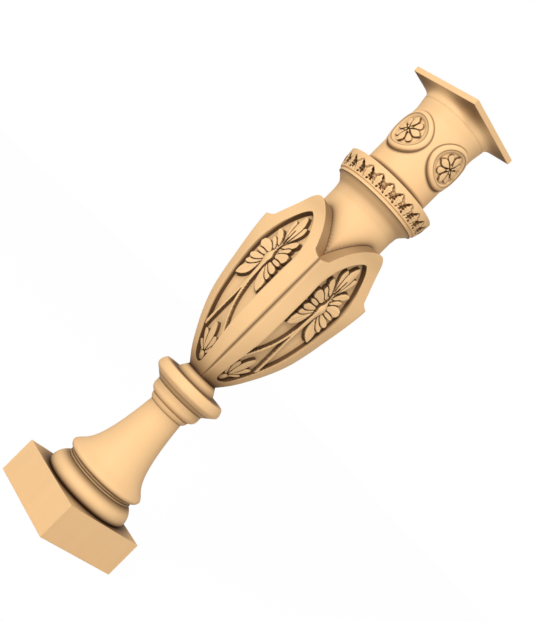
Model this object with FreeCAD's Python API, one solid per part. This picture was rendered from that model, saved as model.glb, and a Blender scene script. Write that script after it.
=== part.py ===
"""Stair baluster: one piece of wood, turned on its axis and carved.

Z is the axis, and Z = 0 is the underside of the plinth. The sides of the plinth, the four petals of
the bulb and the four medallions face +X, +Y, -X and -Y. Lengths are in millimetres.
"""
import FreeCAD, Part
import math
import os

V = FreeCAD.Vector
ORIGIN = V(0, 0, 0)
X_AXIS = V(1, 0, 0)
Z_AXIS = V(0, 0, 1)
FACES = 4                       # petals, pockets and medallions go round the axis in fours
CORNER = 45.0                   # turn from the middle of a side to a corner, in degrees

# Square plinth
plinth_side = 132.0
plinth_height = 51.5

# Foot roll: the fat round moulding on the plinth
roll_radius = 62.0
roll_drop = 5.8                 # from the widest point down to the plinth
roll_rise = 20.2                # from the widest point up to the beads
roll_top_radius = 49.4

# Thin beads between the foot roll and the bell
bead_count = 2
bead_height = 2.65
bead_depth = 1.3

# Bell: a round lip that draws in to a slim neck; the handles shape its curve
bell_lip_radius = 57.0
bell_lip_rise = 6.9
bell_height = 105.3
bell_neck_radius = 25.3
bell_shoulder_in = 5.6
bell_shoulder_up = 14.1
bell_waist_out = 9.6
bell_waist_up = 5.4

# Neck ring, cup and disc above the bell
ring_height = 7.8
ring_radius = 29.6
cup_radius = 36.5
cup_round = 9.6                 # height of the cup's rounded bottom
cup_wall = 7.2
disc_flare = 11.0               # height of the sloping underside
disc_under_radius = 49.4
disc_radius = 51.2
disc_edge_low = 3.6
disc_edge_high = 10.4
disc_top_radius = 47.4
cone_base_radius = 30.0
cone_height = 13.1
cone_top_radius = 22.4

# Bulb: four-sided sections from the foot up, each as its rise above the one below, the half width
# at its corners, and how far the middle of its sides swells beyond them
bulb_sections = [
    (0.0, 16.9, 1.1),
    (9.0, 21.7, 2.3),
    (27.3, 33.9, 6.2),
    (20.5, 41.3, 8.2),
    (25.5, 48.5, 10.7),
    (28.6, 53.6, 11.5),
    (26.2, 57.0, 10.8),
    (26.1, 60.4, 7.8),
    (21.2, 62.7, 2.6),
    (31.1, 63.2, 0.7),
    (24.9, 66.2, 0.4),
    (17.4, 72.4, 0.4),
]

# Petal: the pointed arch that ends each side of the bulb
petal_tip_drop = 0.6            # below the top section of the bulb
arch_height = 51.7
arch_half_width = 46.7
arch_tip_handle = 15.8
arch_flank_half_width = 36.8
arch_flank_drop = 32.4
shoulder_half_width = 57.3
shoulder_drop = 4.9             # from the arch's foot to the ledge
shoulder_sag = 1.2
ledge_fall = 2.4                # from the shoulder to the ledge's outer end
arch_plane = 63.5               # the arch has these sizes at this distance from the axis
reveal_reach = 68.5             # the reveals narrow towards a line this far behind the axis

# Groove down each corner of the bulb
groove_top_half_width = 2.4
groove_foot_half_width = 0.7
groove_depth = 3.4

# Pocket: the sunk panel in each petal; the handles shape its outline
pocket_depth = 7.8
pocket_foot_gap = 11.0          # above the bulb's foot
pocket_tip_gap = 20.2           # below the petal's tip
pocket_half_width = 33.9
pocket_wide_drop = 65.1         # from the pocket's tip down to its widest point
pocket_tip_handle = (15.1, 8.3)
pocket_shoulder_handle = 33.2
pocket_flank_handle = 49.7
pocket_foot_half_width = 8.5
pocket_foot_rise = 5.6
pocket_foot_handle = (19.7, 29.5)
crown_share = 0.72              # part of the sides' swell that is left at the pocket's edge

# Flower in the pocket, placed from the middle of its bud. A leaf is (base across, base up, tip across,
# tip up, half width, height of its ridge); the leaves beside the middle line come in pairs.
bud_above_foot = 163.2
slim_leaf = 4.0                 # leaves of this half width and less are plain lozenges
leaf_edge_share = 0.4           # height of a leaf's edge as a share of its ridge
leaf_sink = 1.5                 # depth of a leaf's root below the ground that it lies on
flower_leaves = [
    (0.0, -11.0, 0.0, 11.0, 6.6, 6.4),
    (0.0, 10.0, 0.0, 62.5, 6.6, 6.2),
    (2.5, 28.0, 11.5, 50.0, 3.6, 4.6),
    (3.6, 10.0, 20.5, 31.5, 4.4, 5.4),
    (6.0, 4.0, 28.5, 10.0, 6.2, 6.2),
    (6.0, -6.5, 27.0, -15.5, 3.8, 5.4),
    (5.0, -9.0, 25.0, -25.0, 3.8, 5.0),
    (3.8, -12.0, 25.5, -45.5, 7.2, 6.0),
]
sprig_leaves = [
    (0.0, -137.0, 0.0, -102.0, 4.8, 5.4),
    (1.0, -137.0, 11.0, -117.0, 2.8, 4.4),
    (0.0, -147.4, 0.0, -139.6, 3.8, 4.2),
]
stem_half_width = 2.4
stem_height = 4.6
stem_points = [(0.0, -8.0), (0.0, -58.5)]
branch_points = [(0.0, -56.5), (21.0, -114.0)]

# Neck between the petals and the collar, and the cove under the collar
neck_radius = 48.9
neck_height = 23.0              # from the petals' tips to the cove
cove_height = 22.4
cove_radius = 59.8
cove_foot_handle = (1.7, 14.4)
cove_lip_handle = (-0.2, 10.2)

# Collar: a fillet and a flaring band
fillet_radius = 61.2
fillet_height = 4.6
band_foot_radius = 63.4
band_top_radius = 67.8
band_height = 24.6

# Leaves carved round the band, each in a pointed hollow
band_leaf_count = 24
band_hollow_foot = 0.9          # above the foot of the band
band_hollow_height = 15.4
band_hollow_half_width = 7.3
band_hollow_depth = 2.4
band_leaf_gap = 1.2             # between the leaf's ends and those of its hollow
band_leaf_half_width = 4.2
band_leaf_peak = 2.6

# Upper neck
upper_neck_radius = 47.3
upper_neck_height = 95.6        # from the collar's top to where it begins to flare
upper_flare_height = 13.6
upper_flare_radius = 49.8

# Medallions on the upper neck
medallion_rise = 59.5           # from the collar's top to the middle
medallion_radius = 30.7
medallion_proud = 4.0           # how far the rim stands out from the neck
medallion_rim = 7.3
medallion_sunk = 1.1            # how far the field lies below the rim
rosette_petals = 4              # in front, and as many behind, between them
rosette_length = 19.0
rosette_half_width = 5.4
rosette_height = 2.4
rosette_back_length = 17.0
rosette_back_half_width = 6.2
rosette_back_height = 1.8
rosette_eye_half_width = 3.4
rosette_eye_height = 3.0

# Abacus: the square plate on top, and the cove that turns the round neck into it; the steps are
# (share of the rise, share of the way from round to square)
abacus_side = 117.0
abacus_thickness = 7.5
abacus_cove_height = 13.8
abacus_cove_inset = 0.5         # the cove stays this far inside the plate's edge
abacus_cove_steps = [(0.0, 0.0), (0.6, 0.22), (1.0, 1.0)]

# Curved stretches are cut as short flats, which keeps the solid light
round_flat_count = 3
edge_flat_count = 2
bell_flat_count = 6
cove_flat_count = 2
arch_flat_count = 5
pocket_flat_count = 4
leaf_flat_count = 3
slim_leaf_flat_count = 2

join = 5.0                      # how far one form reaches into the next
clear = 20.0                    # how far a cutter reaches beyond what it cuts

# Levels, from the floor up
z_plinth = plinth_height
z_roll = z_plinth + roll_drop
z_beads = z_roll + roll_rise
z_bell = z_beads + bead_count * bead_height
z_bell_lip = z_bell + bell_lip_rise
z_bell_neck = z_bell_lip + bell_height
z_cup = z_bell_neck + ring_height
z_cup_wall = z_cup + cup_round
z_disc = z_cup_wall + cup_wall
z_disc_edge = z_disc + disc_flare + disc_edge_low
z_disc_top = z_disc_edge + disc_edge_high
z_bulb = z_disc_top + cone_height
z_bulb_top = z_bulb + sum(rise for rise, half, crown in bulb_sections)
z_petal_tip = z_bulb_top - petal_tip_drop
z_arch = z_petal_tip - arch_height
z_ledge = z_arch - shoulder_drop
z_cove = z_petal_tip + neck_height
z_fillet = z_cove + cove_height
z_band = z_fillet + fillet_height
z_collar_top = z_band + band_height
z_medallion = z_collar_top + medallion_rise
z_upper_flare = z_collar_top + upper_neck_height
z_abacus_cove = z_upper_flare + upper_flare_height
z_abacus = z_abacus_cove + abacus_cove_height
z_bud = z_bulb + bud_above_foot

widest = max(half + crown for rise, half, crown in bulb_sections) + clear


def swell(wide, end, flats):
    """Points on a circle that leaves its widest point straight up or down and ends nearer the axis."""
    inward = wide[0] - end[0]
    rise = end[1] - wide[1]
    radius = (inward ** 2 + rise ** 2) / (2 * inward)
    centre = wide[0] - radius
    turn = math.atan2(rise, end[0] - centre)
    angles = [turn * step / flats for step in range(flats + 1)]
    return [(centre + radius * math.cos(a), wide[1] + radius * math.sin(a)) for a in angles]


def bezier(start, start_handle, end_handle, end, flats):
    """Points on the smooth curve from start to end that its two handles shape."""
    corners = (start, start_handle, end_handle, end)
    points = []
    for step in range(flats + 1):
        t = step / flats
        shares = ((1 - t) ** 3, 3 * t * (1 - t) ** 2, 3 * t ** 2 * (1 - t), t ** 3)
        points.append(tuple(sum(s * corner[k] for s, corner in zip(shares, corners)) for k in (0, 1)))
    return points


def face_of(points):
    """The flat face inside a closed outline."""
    return Part.Face(Part.makePolygon(points + points[:1]))


def turned(profile):
    """The solid turned from (radius, height) points that run up its side."""
    outline = [(0, profile[0][1])] + profile + [(0, profile[-1][1])]
    return face_of([V(radius, 0, z) for radius, z in outline]).revolve(ORIGIN, Z_AXIS, 360)


def around(shapes, count, first=0.0):
    """Copies of some shapes, evenly spaced round the axis."""
    copies = []
    for step in range(count):
        for shape in shapes:
            copy = shape.copy()
            copy.rotate(ORIGIN, Z_AXIS, first + step * 360.0 / count)
            copies.append(copy)
    return copies


def square_block(side, z_foot, height):
    """A square block on the axis."""
    return Part.makeBox(side, side, height, V(-side / 2, -side / 2, z_foot))


def stem():
    """Everything turned between the plinth and the bulb."""
    roll_foot = (roll_radius - roll_drop, z_plinth)
    roll = (roll_radius, z_roll)
    profile = [(roll_foot[0], z_plinth - join)]
    profile += swell(roll, roll_foot, edge_flat_count)[::-1]
    profile += swell(roll, (roll_top_radius, z_beads), round_flat_count)[1:]
    for bead in range(bead_count):
        foot = z_beads + bead * bead_height
        profile.append((roll_top_radius + bead_depth, foot + bead_height / 2))
        profile.append((roll_top_radius, foot + bead_height))
    lip = (bell_lip_radius, z_bell_lip)
    neck = (bell_neck_radius, z_bell_neck)
    shoulder_handle = (bell_lip_radius - bell_shoulder_in, z_bell_lip + bell_shoulder_up)
    waist_handle = (bell_neck_radius + bell_waist_out, z_bell_lip + bell_waist_up)
    profile += swell(lip, profile[-1], edge_flat_count)[-2::-1]
    profile += bezier(lip, shoulder_handle, waist_handle, neck, bell_flat_count)[1:]
    ring_top = (ring_radius, z_cup)
    profile.append(ring_top)
    profile += swell((cup_radius, z_cup_wall), ring_top, edge_flat_count)[-2::-1]
    under = (disc_under_radius, z_disc + disc_flare)
    edge = (disc_radius, z_disc_edge)
    profile += [(cup_radius, z_disc), under, edge]
    profile += swell(edge, (disc_top_radius, z_disc_top), edge_flat_count)[1:]
    profile += [(cone_base_radius, z_disc_top), (cone_top_radius, z_bulb)]
    return turned(profile)


def cushion(half, crown, z):
    """A square outline with swelled sides."""
    corners = [V(half, -half, z), V(half, half, z), V(-half, half, z), V(-half, -half, z)]
    middle = half + crown
    middles = [V(middle, 0, z), V(0, middle, z), V(-middle, 0, z), V(0, -middle, z)]
    edges = []
    for side in range(FACES):
        edges.append(Part.Arc(corners[side], middles[side], corners[(side + 1) % FACES]).toShape())
    return Part.Wire(edges)


def bulb_stations():
    """The bulb's sections as (height, half width at the corners, swell)."""
    stations = []
    z = z_bulb
    for rise, half, crown in bulb_sections:
        z += rise
        stations.append((z, half, crown))
    return stations


def vase():
    """The bulb before it is carved."""
    return Part.makeLoft([cushion(half, crown, z) for z, half, crown in bulb_stations()], True, True)


def mirrored(points):
    """A closed outline from (across, height) points that run down its right side."""
    left = [(-across, z) for across, z in points if across > 0]
    return points + left[::-1]


def petal_outline(distance):
    """The outline of the +X petal and all below it, at a distance from the axis."""
    scale = (distance + reveal_reach) / (arch_plane + reveal_reach)
    foot = (arch_half_width, z_arch)
    tip_handle = (arch_tip_handle, z_petal_tip)
    flank_handle = (arch_flank_half_width, z_petal_tip - arch_flank_drop)
    right = bezier((0, z_petal_tip), tip_handle, flank_handle, foot, arch_flat_count)
    half_way = (arch_half_width + shoulder_half_width) / 2
    right.append((half_way - shoulder_sag, (z_arch + z_ledge) / 2 - shoulder_sag))
    right.append((shoulder_half_width, z_ledge))
    right.append((2 * widest, z_ledge - ledge_fall))
    right.append((2 * widest, z_bulb - clear))
    points = [V(distance, across * scale, z) for across, z in mirrored(right)]
    return Part.makePolygon(points + points[:1])


def petal_cutter():
    """What is cut away between the petals that face +X and +Y, and above them."""
    petal = Part.makeLoft([petal_outline(-join), petal_outline(widest)], True, True)
    foot = z_arch - arch_height
    blank = Part.makeBox(widest, widest, z_bulb_top + clear - foot, V(0, 0, foot))
    return blank.cut(around([petal], FACES)[:2])


def outward(points):
    """An outline of (across, height) points, drawn out from the axis along +X."""
    return face_of([V(0, across, z) for across, z in points]).extrude(X_AXIS * widest)


def core(floor):
    """The block behind a floor of (distance, height) points, wide enough to end any cutter."""
    outline = floor + [(-widest, floor[-1][1]), (-widest, floor[0][1])]
    return face_of([V(distance, -widest, z) for distance, z in outline]).extrude(V(0, 2 * widest, 0))


def reach_at(floor, z):
    """How far from the axis a floor of (distance, height) points lies at a height."""
    for (low_reach, low), (high_reach, high) in zip(floor, floor[1:]):
        if z <= high:
            break
    return low_reach + (high_reach - low_reach) * (z - low) / (high - low)


def pocket_floor():
    """The floor of a pocket, up the middle of a petal, straight between every second section."""
    stations = bulb_stations()
    return [(half + crown_share * crown - pocket_depth, z) for z, half, crown in stations[:1] + stations[1::2]]


def pocket_cutter():
    """What is cut away for the pocket in the +X petal."""
    z_tip = z_petal_tip - pocket_tip_gap
    z_wide = z_tip - pocket_wide_drop
    z_foot = z_bulb + pocket_foot_gap
    tip_handle = (pocket_tip_handle[0], z_tip - pocket_tip_handle[1])
    wide = (pocket_half_width, z_wide)
    foot_handle = (pocket_foot_handle[0], z_foot + pocket_foot_handle[1])
    turn = (pocket_foot_half_width, z_foot + pocket_foot_rise)
    shoulder_handle = (pocket_half_width, z_wide + pocket_shoulder_handle)
    flank_handle = (pocket_half_width, z_wide - pocket_flank_handle)
    right = bezier((0, z_tip), tip_handle, shoulder_handle, wide, pocket_flat_count)
    right += bezier(wide, flank_handle, foot_handle, turn, pocket_flat_count)[1:]
    right.append((0, z_foot))
    return outward(mirrored(right)).cut(core(pocket_floor()))


def groove_cutter():
    """What is cut away for the groove down a corner of the bulb, before it is turned to its corner."""
    floor = [(math.sqrt(2) * half - groove_depth, z) for z, half, crown in bulb_stations()]
    right = [(groove_top_half_width, z_ledge + clear), (groove_foot_half_width, z_bulb - join)]
    return outward(mirrored(right)).cut(core(floor))


def laid(shape, base, tip):
    """A shape drawn along X, laid from base towards tip with its top outwards."""
    along = tip - base
    along.normalize()
    out = X_AXIS - along * X_AXIS.dot(along)
    out.normalize()
    side = out.cross(along)
    shape.transformShape(FreeCAD.Matrix(
        along.x, side.x, out.x, base.x,
        along.y, side.y, out.y, base.y,
        along.z, side.z, out.z, base.z,
        0, 0, 0, 1))
    return shape


def ridge(length, half_width, height):
    """A straight bar along X with a roof-shaped top."""
    eaves = height * leaf_edge_share
    section = [
        V(0, -half_width, -leaf_sink),
        V(0, half_width, -leaf_sink),
        V(0, half_width, eaves),
        V(0, 0, height),
        V(0, -half_width, eaves),
    ]
    return face_of(section).extrude(V(length, 0, 0))


def bar(base, tip, half_width, height):
    """A ridged bar between two points."""
    return laid(ridge((tip - base).Length, half_width, height), base, tip)


def leaf(base, tip, half_width, height, flats):
    """A ridged leaf between two points, with sides that follow a parabola."""
    length = (tip - base).Length
    right = []
    for step in range(flats + 1):
        share = step / flats
        right.append(V(length * share, half_width * 4 * share * (1 - share), -leaf_sink))
    left = [V(point.x, -point.y, point.z) for point in right[-2:0:-1]]
    blank = face_of(right + left).extrude(V(0, 0, height + 2 * leaf_sink))
    return laid(ridge(length, half_width, height).common(blank), base, tip)


def facet(base, tip, half_width, height):
    """A pointed leaf between two points, cut as four facets that meet over its middle."""
    length = (tip - base).Length
    corners = [V(0, 0, 0), V(length / 2, half_width, 0), V(length, 0, 0), V(length / 2, -half_width, 0)]
    outline = Part.makePolygon(corners + corners[:1])
    peak = Part.Vertex(V(length / 2, 0, height))
    root = face_of(corners).extrude(V(0, 0, -leaf_sink))
    return laid(Part.makeLoft([outline, peak], True, True).fuse(root), base, tip)


def in_pairs(rows):
    """Rows of a pattern, with each row that lies off the middle line mirrored across it."""
    both = list(rows)
    for across, up, tip_across, tip_up, half_width, height in rows:
        if across or tip_across:
            both.append((-across, up, -tip_across, tip_up, half_width, height))
    return both


def flower():
    """The flower, its stem and the sprig below it, on the floor of the +X pocket."""
    floor = pocket_floor()

    def seat(across, up):
        return V(reach_at(floor, z_bud + up), across, z_bud + up)

    shapes = []
    for across, up, tip_across, tip_up, half_width, height in in_pairs(flower_leaves + sprig_leaves):
        flats = leaf_flat_count if half_width > slim_leaf else slim_leaf_flat_count
        shapes.append(leaf(seat(across, up), seat(tip_across, tip_up), half_width, height, flats))
    runs = []
    for points in (stem_points, branch_points):
        for start, end in zip(points, points[1:]):
            runs.append(start + end + (stem_half_width, stem_height))
    for across, up, tip_across, tip_up, half_width, height in in_pairs(runs):
        shapes.append(bar(seat(across, up), seat(tip_across, tip_up), half_width, height))
    return shapes


def bulb():
    """The carved bulb."""
    cutters = around([petal_cutter(), pocket_cutter()], FACES) + around([groove_cutter()], FACES, CORNER)
    return vase().cut(cutters).fuse(around(flower(), FACES))


def band_floor():
    """The ground of the +X hollow in the band."""
    slope = (band_top_radius - band_foot_radius) / band_height
    levels = (z_band - join, z_band + band_height + join)
    return [(band_foot_radius + slope * (z - z_band) - band_hollow_depth, z) for z in levels]


def band_hollow():
    """What is cut away for the +X hollow in the band."""
    foot = z_band + band_hollow_foot
    right = [(0, foot + band_hollow_height), (band_hollow_half_width, foot)]
    return outward(mirrored(right)).cut(core(band_floor()))


def band_leaf():
    """The leaf that lies in the +X hollow of the band."""
    floor = band_floor()
    low = z_band + band_hollow_foot + band_leaf_gap
    high = z_band + band_hollow_foot + band_hollow_height - band_leaf_gap
    base = V(reach_at(floor, low), 0, low)
    tip = V(reach_at(floor, high), 0, high)
    return facet(base, tip, band_leaf_half_width, band_leaf_peak)


def post(radius):
    """A round post on the axis, as tall as a medallion and a little more."""
    reach = medallion_radius + join
    return Part.makeCylinder(radius, 2 * reach, V(0, 0, z_medallion - reach), Z_AXIS)


def medallion():
    """The +X medallion: a raised rim, a sunk field and a rosette of two rings of petals."""
    rim_radius = upper_neck_radius + medallion_proud
    field_radius = rim_radius - medallion_sunk
    middle = V(0, 0, z_medallion)
    hollow = Part.makeCylinder(medallion_radius - medallion_rim, widest, middle, X_AXIS)
    disc = Part.makeCylinder(medallion_radius, widest, middle, X_AXIS).common(post(rim_radius))
    field = disc.cut(hollow.cut(post(field_radius)))
    base = V(field_radius, 0, z_medallion)
    rings = [
        (0.0, rosette_length, rosette_half_width, rosette_height),
        (0.5, rosette_back_length, rosette_back_half_width, rosette_back_height),
    ]
    tips = [(0, rosette_eye_half_width), (rosette_eye_half_width, 0), (0, -rosette_eye_half_width)]
    eye = face_of([V(0, across, z_medallion + up) for across, up in mirrored(tips)])
    petals = [eye.extrude(X_AXIS * (field_radius + rosette_eye_height))]
    for first, length, half_width, height in rings:
        for step in range(rosette_petals):
            turn = math.radians((step + first) * 360.0 / rosette_petals)
            across = length * math.sin(turn)
            reach = math.sqrt(field_radius ** 2 - across ** 2)
            tip = V(reach, across, z_medallion + length * math.cos(turn))
            petals.append(leaf(base, tip, half_width, height, slim_leaf_flat_count))
    return field.fuse(petals)


def shaft():
    """Everything turned above the bulb, with the leaves of the band and the medallions."""
    cove = (neck_radius, z_cove)
    foot_handle = (neck_radius + cove_foot_handle[0], z_cove + cove_foot_handle[1])
    lip_handle = (neck_radius + cove_lip_handle[0], z_cove + cove_lip_handle[1])
    profile = [(neck_radius, z_ledge - join)]
    profile += bezier(cove, foot_handle, lip_handle, (cove_radius, z_fillet), cove_flat_count)
    profile += [
        (fillet_radius, z_fillet),
        (fillet_radius, z_band),
        (band_foot_radius, z_band),
        (band_top_radius, z_collar_top),
        (upper_neck_radius, z_collar_top),
        (upper_neck_radius, z_upper_flare),
        (upper_flare_radius, z_abacus_cove),
    ]
    hollows = around([band_hollow()], band_leaf_count, CORNER)
    trim = around([band_leaf()], band_leaf_count, CORNER) + around([medallion()], FACES)
    return turned(profile).cut(hollows).fuse(trim)


def abacus():
    """The square plate and the cove under it."""
    square = abacus_side / 2 - abacus_cove_inset
    round_half = upper_flare_radius / math.sqrt(2)
    round_crown = upper_flare_radius - round_half
    wires = []
    for rise, share in abacus_cove_steps:
        half = round_half + (square - round_half) * share
        crown = round_crown * (1 - share) + abacus_cove_inset * share / 2
        wires.append(cushion(half, crown, z_abacus_cove + rise * abacus_cove_height))
    cove = Part.makeLoft(wires, True, True)
    return square_block(abacus_side, z_abacus, abacus_thickness).fuse(cove)


def baluster():
    """The whole piece."""
    plinth = square_block(plinth_side, 0, plinth_height)
    return bulb().fuse([plinth, stem(), shaft(), abacus()]).removeSplitter()


part = baluster()
print("solids", len(part.Solids), "valid", part.isValid(), "height", round(part.BoundBox.ZMax, 3))
os.makedirs("parts", exist_ok=True)
part.Solids[0].exportStep("parts/baluster.step")
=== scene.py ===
"""The looks of a carved stair baluster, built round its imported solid. Its sizes are in millimetres."""
import math

import bmesh
import bpy
import numpy as np
from mathutils import Matrix, Vector


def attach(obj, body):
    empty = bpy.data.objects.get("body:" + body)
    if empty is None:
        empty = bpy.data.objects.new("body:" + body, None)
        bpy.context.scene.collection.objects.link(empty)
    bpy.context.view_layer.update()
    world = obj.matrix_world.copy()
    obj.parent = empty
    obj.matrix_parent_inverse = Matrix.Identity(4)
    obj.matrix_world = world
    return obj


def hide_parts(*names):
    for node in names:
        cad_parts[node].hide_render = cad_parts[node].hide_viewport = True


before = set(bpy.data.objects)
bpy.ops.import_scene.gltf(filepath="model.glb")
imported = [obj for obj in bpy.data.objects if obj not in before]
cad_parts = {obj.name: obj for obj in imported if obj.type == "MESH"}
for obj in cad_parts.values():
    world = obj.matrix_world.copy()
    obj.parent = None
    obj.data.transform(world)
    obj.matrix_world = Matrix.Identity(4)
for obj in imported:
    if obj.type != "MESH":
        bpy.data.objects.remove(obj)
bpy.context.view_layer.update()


# The wood: pale close-grained timber, sanded smooth and finished with a thin oil. Painted shade darkens it
# in the carved hollows, in creases and under overhangs, where each mesh's own shade values say.
fair_wood = (0.82, 0.525, 0.262, 1.0)
warm_wood = (0.803, 0.509, 0.250, 1.0)
# the colour of the painted shade
painted_shade_colour = (0.060, 0.024, 0.008, 1.0)
grain_size = 0.55                # streaks per centimetre, across the grain
grain_stretch = 0.035            # the streaks run this much slower along the axis
centimetres = 100.0              # in a metre


def grain_group():
    """A node group: noise pulled out along Z gives streaks, and a finer one the pores between them."""
    group = bpy.data.node_groups.new("wood grain", "ShaderNodeTree")
    group.interface.new_socket("Size", in_out="INPUT", socket_type="NodeSocketFloat")
    group.interface.new_socket("Streak", in_out="OUTPUT", socket_type="NodeSocketFloat")
    group.interface.new_socket("Pore", in_out="OUTPUT", socket_type="NodeSocketFloat")
    nodes, links = group.nodes, group.links
    entry = nodes.new("NodeGroupInput")
    leave = nodes.new("NodeGroupOutput")
    place = nodes.new("ShaderNodeTexCoord")
    pull = nodes.new("ShaderNodeMapping")
    pull.inputs["Scale"].default_value = (centimetres, centimetres, centimetres * grain_stretch)
    links.new(place.outputs["Object"], pull.inputs["Vector"])
    for name, share, detail in (("Streak", 1.0, 4.0), ("Pore", 9.0, 2.0)):
        scale = nodes.new("ShaderNodeMath")
        scale.operation = "MULTIPLY"
        scale.inputs[1].default_value = share
        links.new(entry.outputs["Size"], scale.inputs[0])
        noise = nodes.new("ShaderNodeTexNoise")
        noise.inputs["Detail"].default_value = detail
        noise.inputs["Roughness"].default_value = 0.55
        links.new(pull.outputs["Vector"], noise.inputs["Vector"])
        links.new(scale.outputs["Value"], noise.inputs["Scale"])
        links.new(noise.outputs["Fac"], leave.inputs[name])
    return group


def oiled_wood_with_painted_shade():
    """Fair and warm wood mixed by the streaks, darkened by the painted shade values, with pores in the bump.
    """
    material = bpy.data.materials.new("oiled wood with painted shade")
    material.use_nodes = True
    nodes, links = material.node_tree.nodes, material.node_tree.links
    shader = nodes["Principled BSDF"]
    grain = nodes.new("ShaderNodeGroup")
    grain.node_tree = grain_group()
    grain.inputs["Size"].default_value = grain_size
    streaks = nodes.new("ShaderNodeMapRange")
    streaks.inputs["From Min"].default_value = 0.35
    streaks.inputs["From Max"].default_value = 0.65
    links.new(grain.outputs["Streak"], streaks.inputs["Value"])
    wood = nodes.new("ShaderNodeMix")
    wood.data_type = "RGBA"
    wood.inputs["A"].default_value = fair_wood
    wood.inputs["B"].default_value = warm_wood
    links.new(streaks.outputs["Result"], wood.inputs["Factor"])
    # Painted shade: each point's shade value mixes the wood towards the dark shade colour.
    painted_shade = nodes.new("ShaderNodeAttribute")
    painted_shade.attribute_name = "painted_shade"
    painted_shade_mix = nodes.new("ShaderNodeMix")
    painted_shade_mix.data_type = "RGBA"
    painted_shade_mix.inputs["B"].default_value = painted_shade_colour
    links.new(painted_shade.outputs["Fac"], painted_shade_mix.inputs["Factor"])
    links.new(wood.outputs["Result"], painted_shade_mix.inputs["A"])
    links.new(painted_shade_mix.outputs["Result"], shader.inputs["Base Color"])
    rough = nodes.new("ShaderNodeMapRange")
    rough.inputs["To Min"].default_value = 0.52
    rough.inputs["To Max"].default_value = 0.66
    links.new(grain.outputs["Pore"], rough.inputs["Value"])
    links.new(rough.outputs["Result"], shader.inputs["Roughness"])
    bump = nodes.new("ShaderNodeBump")
    bump.inputs["Strength"].default_value = 0.06
    bump.inputs["Distance"].default_value = 0.0003
    links.new(grain.outputs["Pore"], bump.inputs["Height"])
    links.new(bump.outputs["Normal"], shader.inputs["Normal"])
    shader.inputs["Specular IOR Level"].default_value = 0.12
    return material


wood = oiled_wood_with_painted_shade()


# The plinth: the square block at the foot of the baluster, left as the timber was sawn and planed,
# with its edges just eased. Everything above it is worked from the same piece.
plinth_half = 66.0
plinth_height = 51.5
plinth_columns = 128
plinth_top_rows = np.arange(64.5, 38.0, -1.5)    # half sizes of the squares of points on its top
plinth_dark = 57.0               # its painted shade on top is darkest up to this far from the axis
plinth_fade = 21.0               # and the painted shade fades over about this much more
eased = 0.5
millimetre = 0.001
sharp_turn = math.radians(38)    # an edge between faces that turn more than this stays sharp


def skin(name, grid, painted_shade):
    """A mesh on rows of points: each four neighbours make a face, and the last column meets the first."""
    rows, columns = grid.shape[:2]
    index = np.arange(rows * columns).reshape(rows, columns)
    index = np.hstack([index, index[:, :1]])
    cells = np.stack([index[:-1, :-1], index[:-1, 1:], index[1:, 1:], index[1:, :-1]], axis=-1)
    mesh = bpy.data.meshes.new(name)
    mesh.from_pydata((grid * millimetre).reshape(-1, 3), [], cells.reshape(-1, 4))
    # Each point's painted shade value goes to the material as an attribute.
    depth = mesh.attributes.new("painted_shade", "FLOAT", "POINT")
    depth.data.foreach_set("value", np.broadcast_to(painted_shade, (rows, columns)).astype(np.float32).ravel())
    work = bmesh.new()
    work.from_mesh(mesh)
    bmesh.ops.remove_doubles(work, verts=work.verts, dist=1e-6)
    bmesh.ops.recalc_face_normals(work, faces=work.faces)
    work.to_mesh(mesh)
    work.free()
    mesh.shade_smooth()
    mesh.set_sharp_from_angle(angle=sharp_turn)
    mesh.materials.append(wood)
    piece = bpy.data.objects.new(name, mesh)
    bpy.context.scene.collection.objects.link(piece)
    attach(piece, "root")
    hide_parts("baluster")


def square_ring(turn):
    """A square's outline by direction: each direction's reach is one over its longer component."""
    direction = np.stack([np.cos(turn), np.sin(turn)], axis=-1)
    return direction / np.abs(direction).max(axis=-1, keepdims=True)


def box_rows(half, low, high, turn, top=()):
    """Rows of points over a square block: its profile, with eased edges and rows on its top as asked for,
    carried round the square."""
    reach = np.array([0.0, half - eased, half, half, half - eased, *top, 0.0])
    level = np.array([low, low, low + eased, high - eased, high, *[high for row in top], high])
    plan = square_ring(turn)
    grid = np.empty((len(reach), len(turn), 3))
    grid[..., :2] = reach[:, None, None] * plan
    grid[..., 2] = level[:, None]
    return grid


plinth_turns = np.linspace(0, 2 * np.pi, plinth_columns, endpoint=False)
plinth_grid = box_rows(plinth_half, 0.0, plinth_height, plinth_turns, plinth_top_rows)
# Painted shade on the plinth's top, darkest round the foot of the roll where its shadow falls, fading
# outwards.
plinth_far = np.hypot(plinth_grid[..., 0], plinth_grid[..., 1]) - plinth_dark
plinth_shade = np.exp(-(plinth_far.clip(0, None) / plinth_fade) ** 1.6)
plinth_top = plinth_grid[..., 2] > plinth_height - 0.01
skin("plinth", plinth_grid, plinth_shade * plinth_top)


# The foot: a fat roll, two thin beads, a bell, a neck ring, a cup and a disc, all turned on the lathe
# in one run between the plinth and the bulb.
foot_columns = 96
row_step = 1.1                   # largest step along a turned profile
arc_points = 24
curve_points = 40
roll_wide = (62.0, 57.3)         # widest points of the rounds, as (radius, height)
bell_wide = (57.0, 91.0)
cup_wide = (36.5, 212.5)
disc_wide = (51.2, 234.0)
roll_foot = 56.1                 # radius where the roll stands on the plinth
bead_root = 49.4                 # radius between the beads
bead_foot = 77.5
bead_rise = 3.5
bell_foot = bead_foot + 2 * bead_rise
bell_neck = (25.3, 195.0)
cup_foot = 203.0
cup_top = (36.5, 219.5)
disc_edge = (49.4, 230.5)
disc_top = 245.4
cone_radius = 30.0               # of the cone on the disc, which carries the bulb
foot_top = 258.5


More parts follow.
